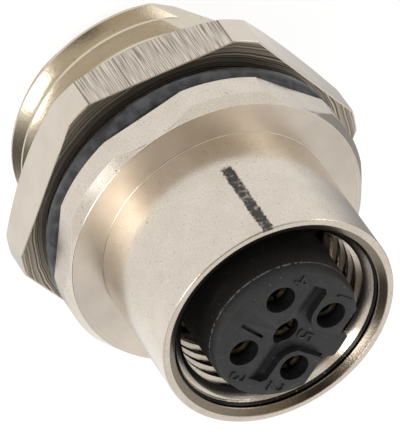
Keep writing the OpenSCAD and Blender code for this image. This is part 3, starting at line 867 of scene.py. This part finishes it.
# the five numbers, raised on the face beside their contacts, with their tops towards the key
number_raised, number_turn = 0.08, Matrix.Rotation(math.radians(-90), 4, "Z")
for label, x, y, foot, height in (
        ("1", 1.95, 3.2, face_level, 1.1), ("2", 1.52, -3.4, face_level, 1.1),
        ("3", -1.3, -3.5, face_level, 1.1), ("4", -1.4, 3.4, face_level, 1.1),
        ("5", 1.55, -0.03, sunk, 1.15)):
    curve = bpy.data.curves.new("number_" + label, "FONT")
    curve.body, curve.size, curve.extrude = label, height * 1.4, number_raised
    curve.align_x, curve.align_y = "CENTER", "CENTER"
    letter = new_piece("number_" + label, curve)
    shape = made_plain(letter)
    shape.transform(Matrix.Translation((x, y, foot)) @ number_turn)
    bpy.data.objects.remove(letter)
    number = new_piece("contact_number_" + label, shape)
    shape.materials.clear()
    shape.materials.append(plastic)
    fit_out(number, "housing_body", "insert_plastic")


# --- Contacts -----------------------------------------------------------------------------
# Five turned brass sockets with a gold flash: a slit tube at the mating end, a collar, a
# shank and an open solder cup. One is drawn, and five are set on the pattern.

contact_r, contact_bore_r, mouth = 0.8, 0.52, 20.8
bore_foot, slit_foot, slit_half_w = 14.8, 16.8, 0.1
contact_collar_r, contact_collar_half, shank_r = 1.05, 0.45, 0.6
cup_r, cup_bore_r, cup_foot, cup_top = 0.9, 0.65, 1.6, 3.8

# thin gold, worn unevenly, its colour darkened to a dull brown as painted shade for the depth of
# the holes
gold, tree = start_finish("gold_flash_on_brass")
spot = add(tree, "ShaderNodeTexCoord").outputs["Object"]
wear = add(tree, "ShaderNodeTexNoise", {"Vector": spot, "Scale": 2500.0, "Detail": 3.0})   # 0.4 mm
tint = add(tree, "ShaderNodeValToRGB", {"Fac": wear})
set_stops(tint, (0.3, srgb("#453D30")), (0.7, srgb("#6E6350")))
shader = add(tree, "ShaderNodeBsdfPrincipled", {"Base Color": tint, "Metallic": 1.0,
                                                "Roughness": 0.4})
add(tree, "ShaderNodeOutputMaterial", {"Surface": shader})

contact = turned_piece("contact", evenly(32), [
    (0.0, cup_top - 0.5), (cup_bore_r, cup_top - 0.5), (cup_bore_r, cup_foot), (cup_r, cup_foot),
    (cup_r, cup_top), (shank_r, cup_top), (shank_r, collar_rear - contact_collar_half),
    (contact_collar_r, collar_rear - contact_collar_half),
    (contact_collar_r, collar_rear + contact_collar_half),
    (contact_r, collar_rear + contact_collar_half), (contact_r, mouth - 0.1),
    (contact_r - 0.08, mouth), (contact_bore_r + 0.08, mouth), (contact_bore_r, mouth - 0.12),
    (contact_bore_r, bore_foot), (0.0, bore_foot - 0.3)])
slit = block("slit", (-2, -slit_half_w, slit_foot), (2, slit_half_w, clear_of_face))
machine(contact, slit, "DIFFERENCE")
machine(contact, block("cup_cut", (0, -2, 0), (2, 2, cup_top - 1.0)), "DIFFERENCE")

# the pattern: contacts on a circle, each turned outwards, and one in the middle
pattern, size = start_shape_tree("contact_pattern", [
    ("Contact", "Geometry"), ("Circle Radius", "Float"), ("Outer Contacts", "Int"),
    ("First Angle", "Float"), ("Finish", "Material")])
circle = add(pattern, "GeometryNodeMeshCircle", {"Vertices": size["Outer Contacts"],
                                                 "Radius": size["Circle Radius"]})
turn = add(pattern, "ShaderNodeCombineXYZ", {"Z": size["First Angle"]})
aligned = add(pattern, "GeometryNodeTransform", {"Geometry": circle, "Rotation": turn})
middle = add(pattern, "GeometryNodePoints", {"Count": 1})
places = add(pattern, "GeometryNodeJoinGeometry")
for group in (aligned, middle):
    pattern.links.new(group.outputs[0], places.inputs[0])
bearing = add(pattern, "ShaderNodeSeparateXYZ", {
    "Vector": add(pattern, "GeometryNodeInputPosition")}).outputs
bearing = add(pattern, "ShaderNodeMath", {0: bearing["Y"], 1: bearing["X"]}, operation="ARCTAN2")
facing = add(pattern, "ShaderNodeCombineXYZ", {"Z": bearing})
set_in = add(pattern, "GeometryNodeInstanceOnPoints", {
    "Points": places, "Instance": size["Contact"], "Rotation": facing})
end_shape_tree(pattern, set_in, size["Finish"])

drawn = contact.data.copy()
bpy.data.objects.remove(contact)
contacts = orient(grow("contact_set", pattern, {
    "Circle Radius": circle_r, "Outer Contacts": 4, "First Angle": math.radians(first_contact),
    "Finish": gold}, drawn))
shade_smooth(contacts, 30)
fit_out(contacts, "housing_body", "contact_gold", *["contact_%d" % n for n in range(1, 6)])


# --- Holder, inner seal and retaining ring ------------------------------------------------
# They close the rear of the housing behind the insert. Their solids are right as they are,
# and take the finishes of the parts that they stand for.

for name, finish in (("contact_holder", plastic), ("insert_seal", rubber),
                     ("retaining_ring", plate)):
    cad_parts[name].data.materials.clear()
    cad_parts[name].data.materials.append(finish)
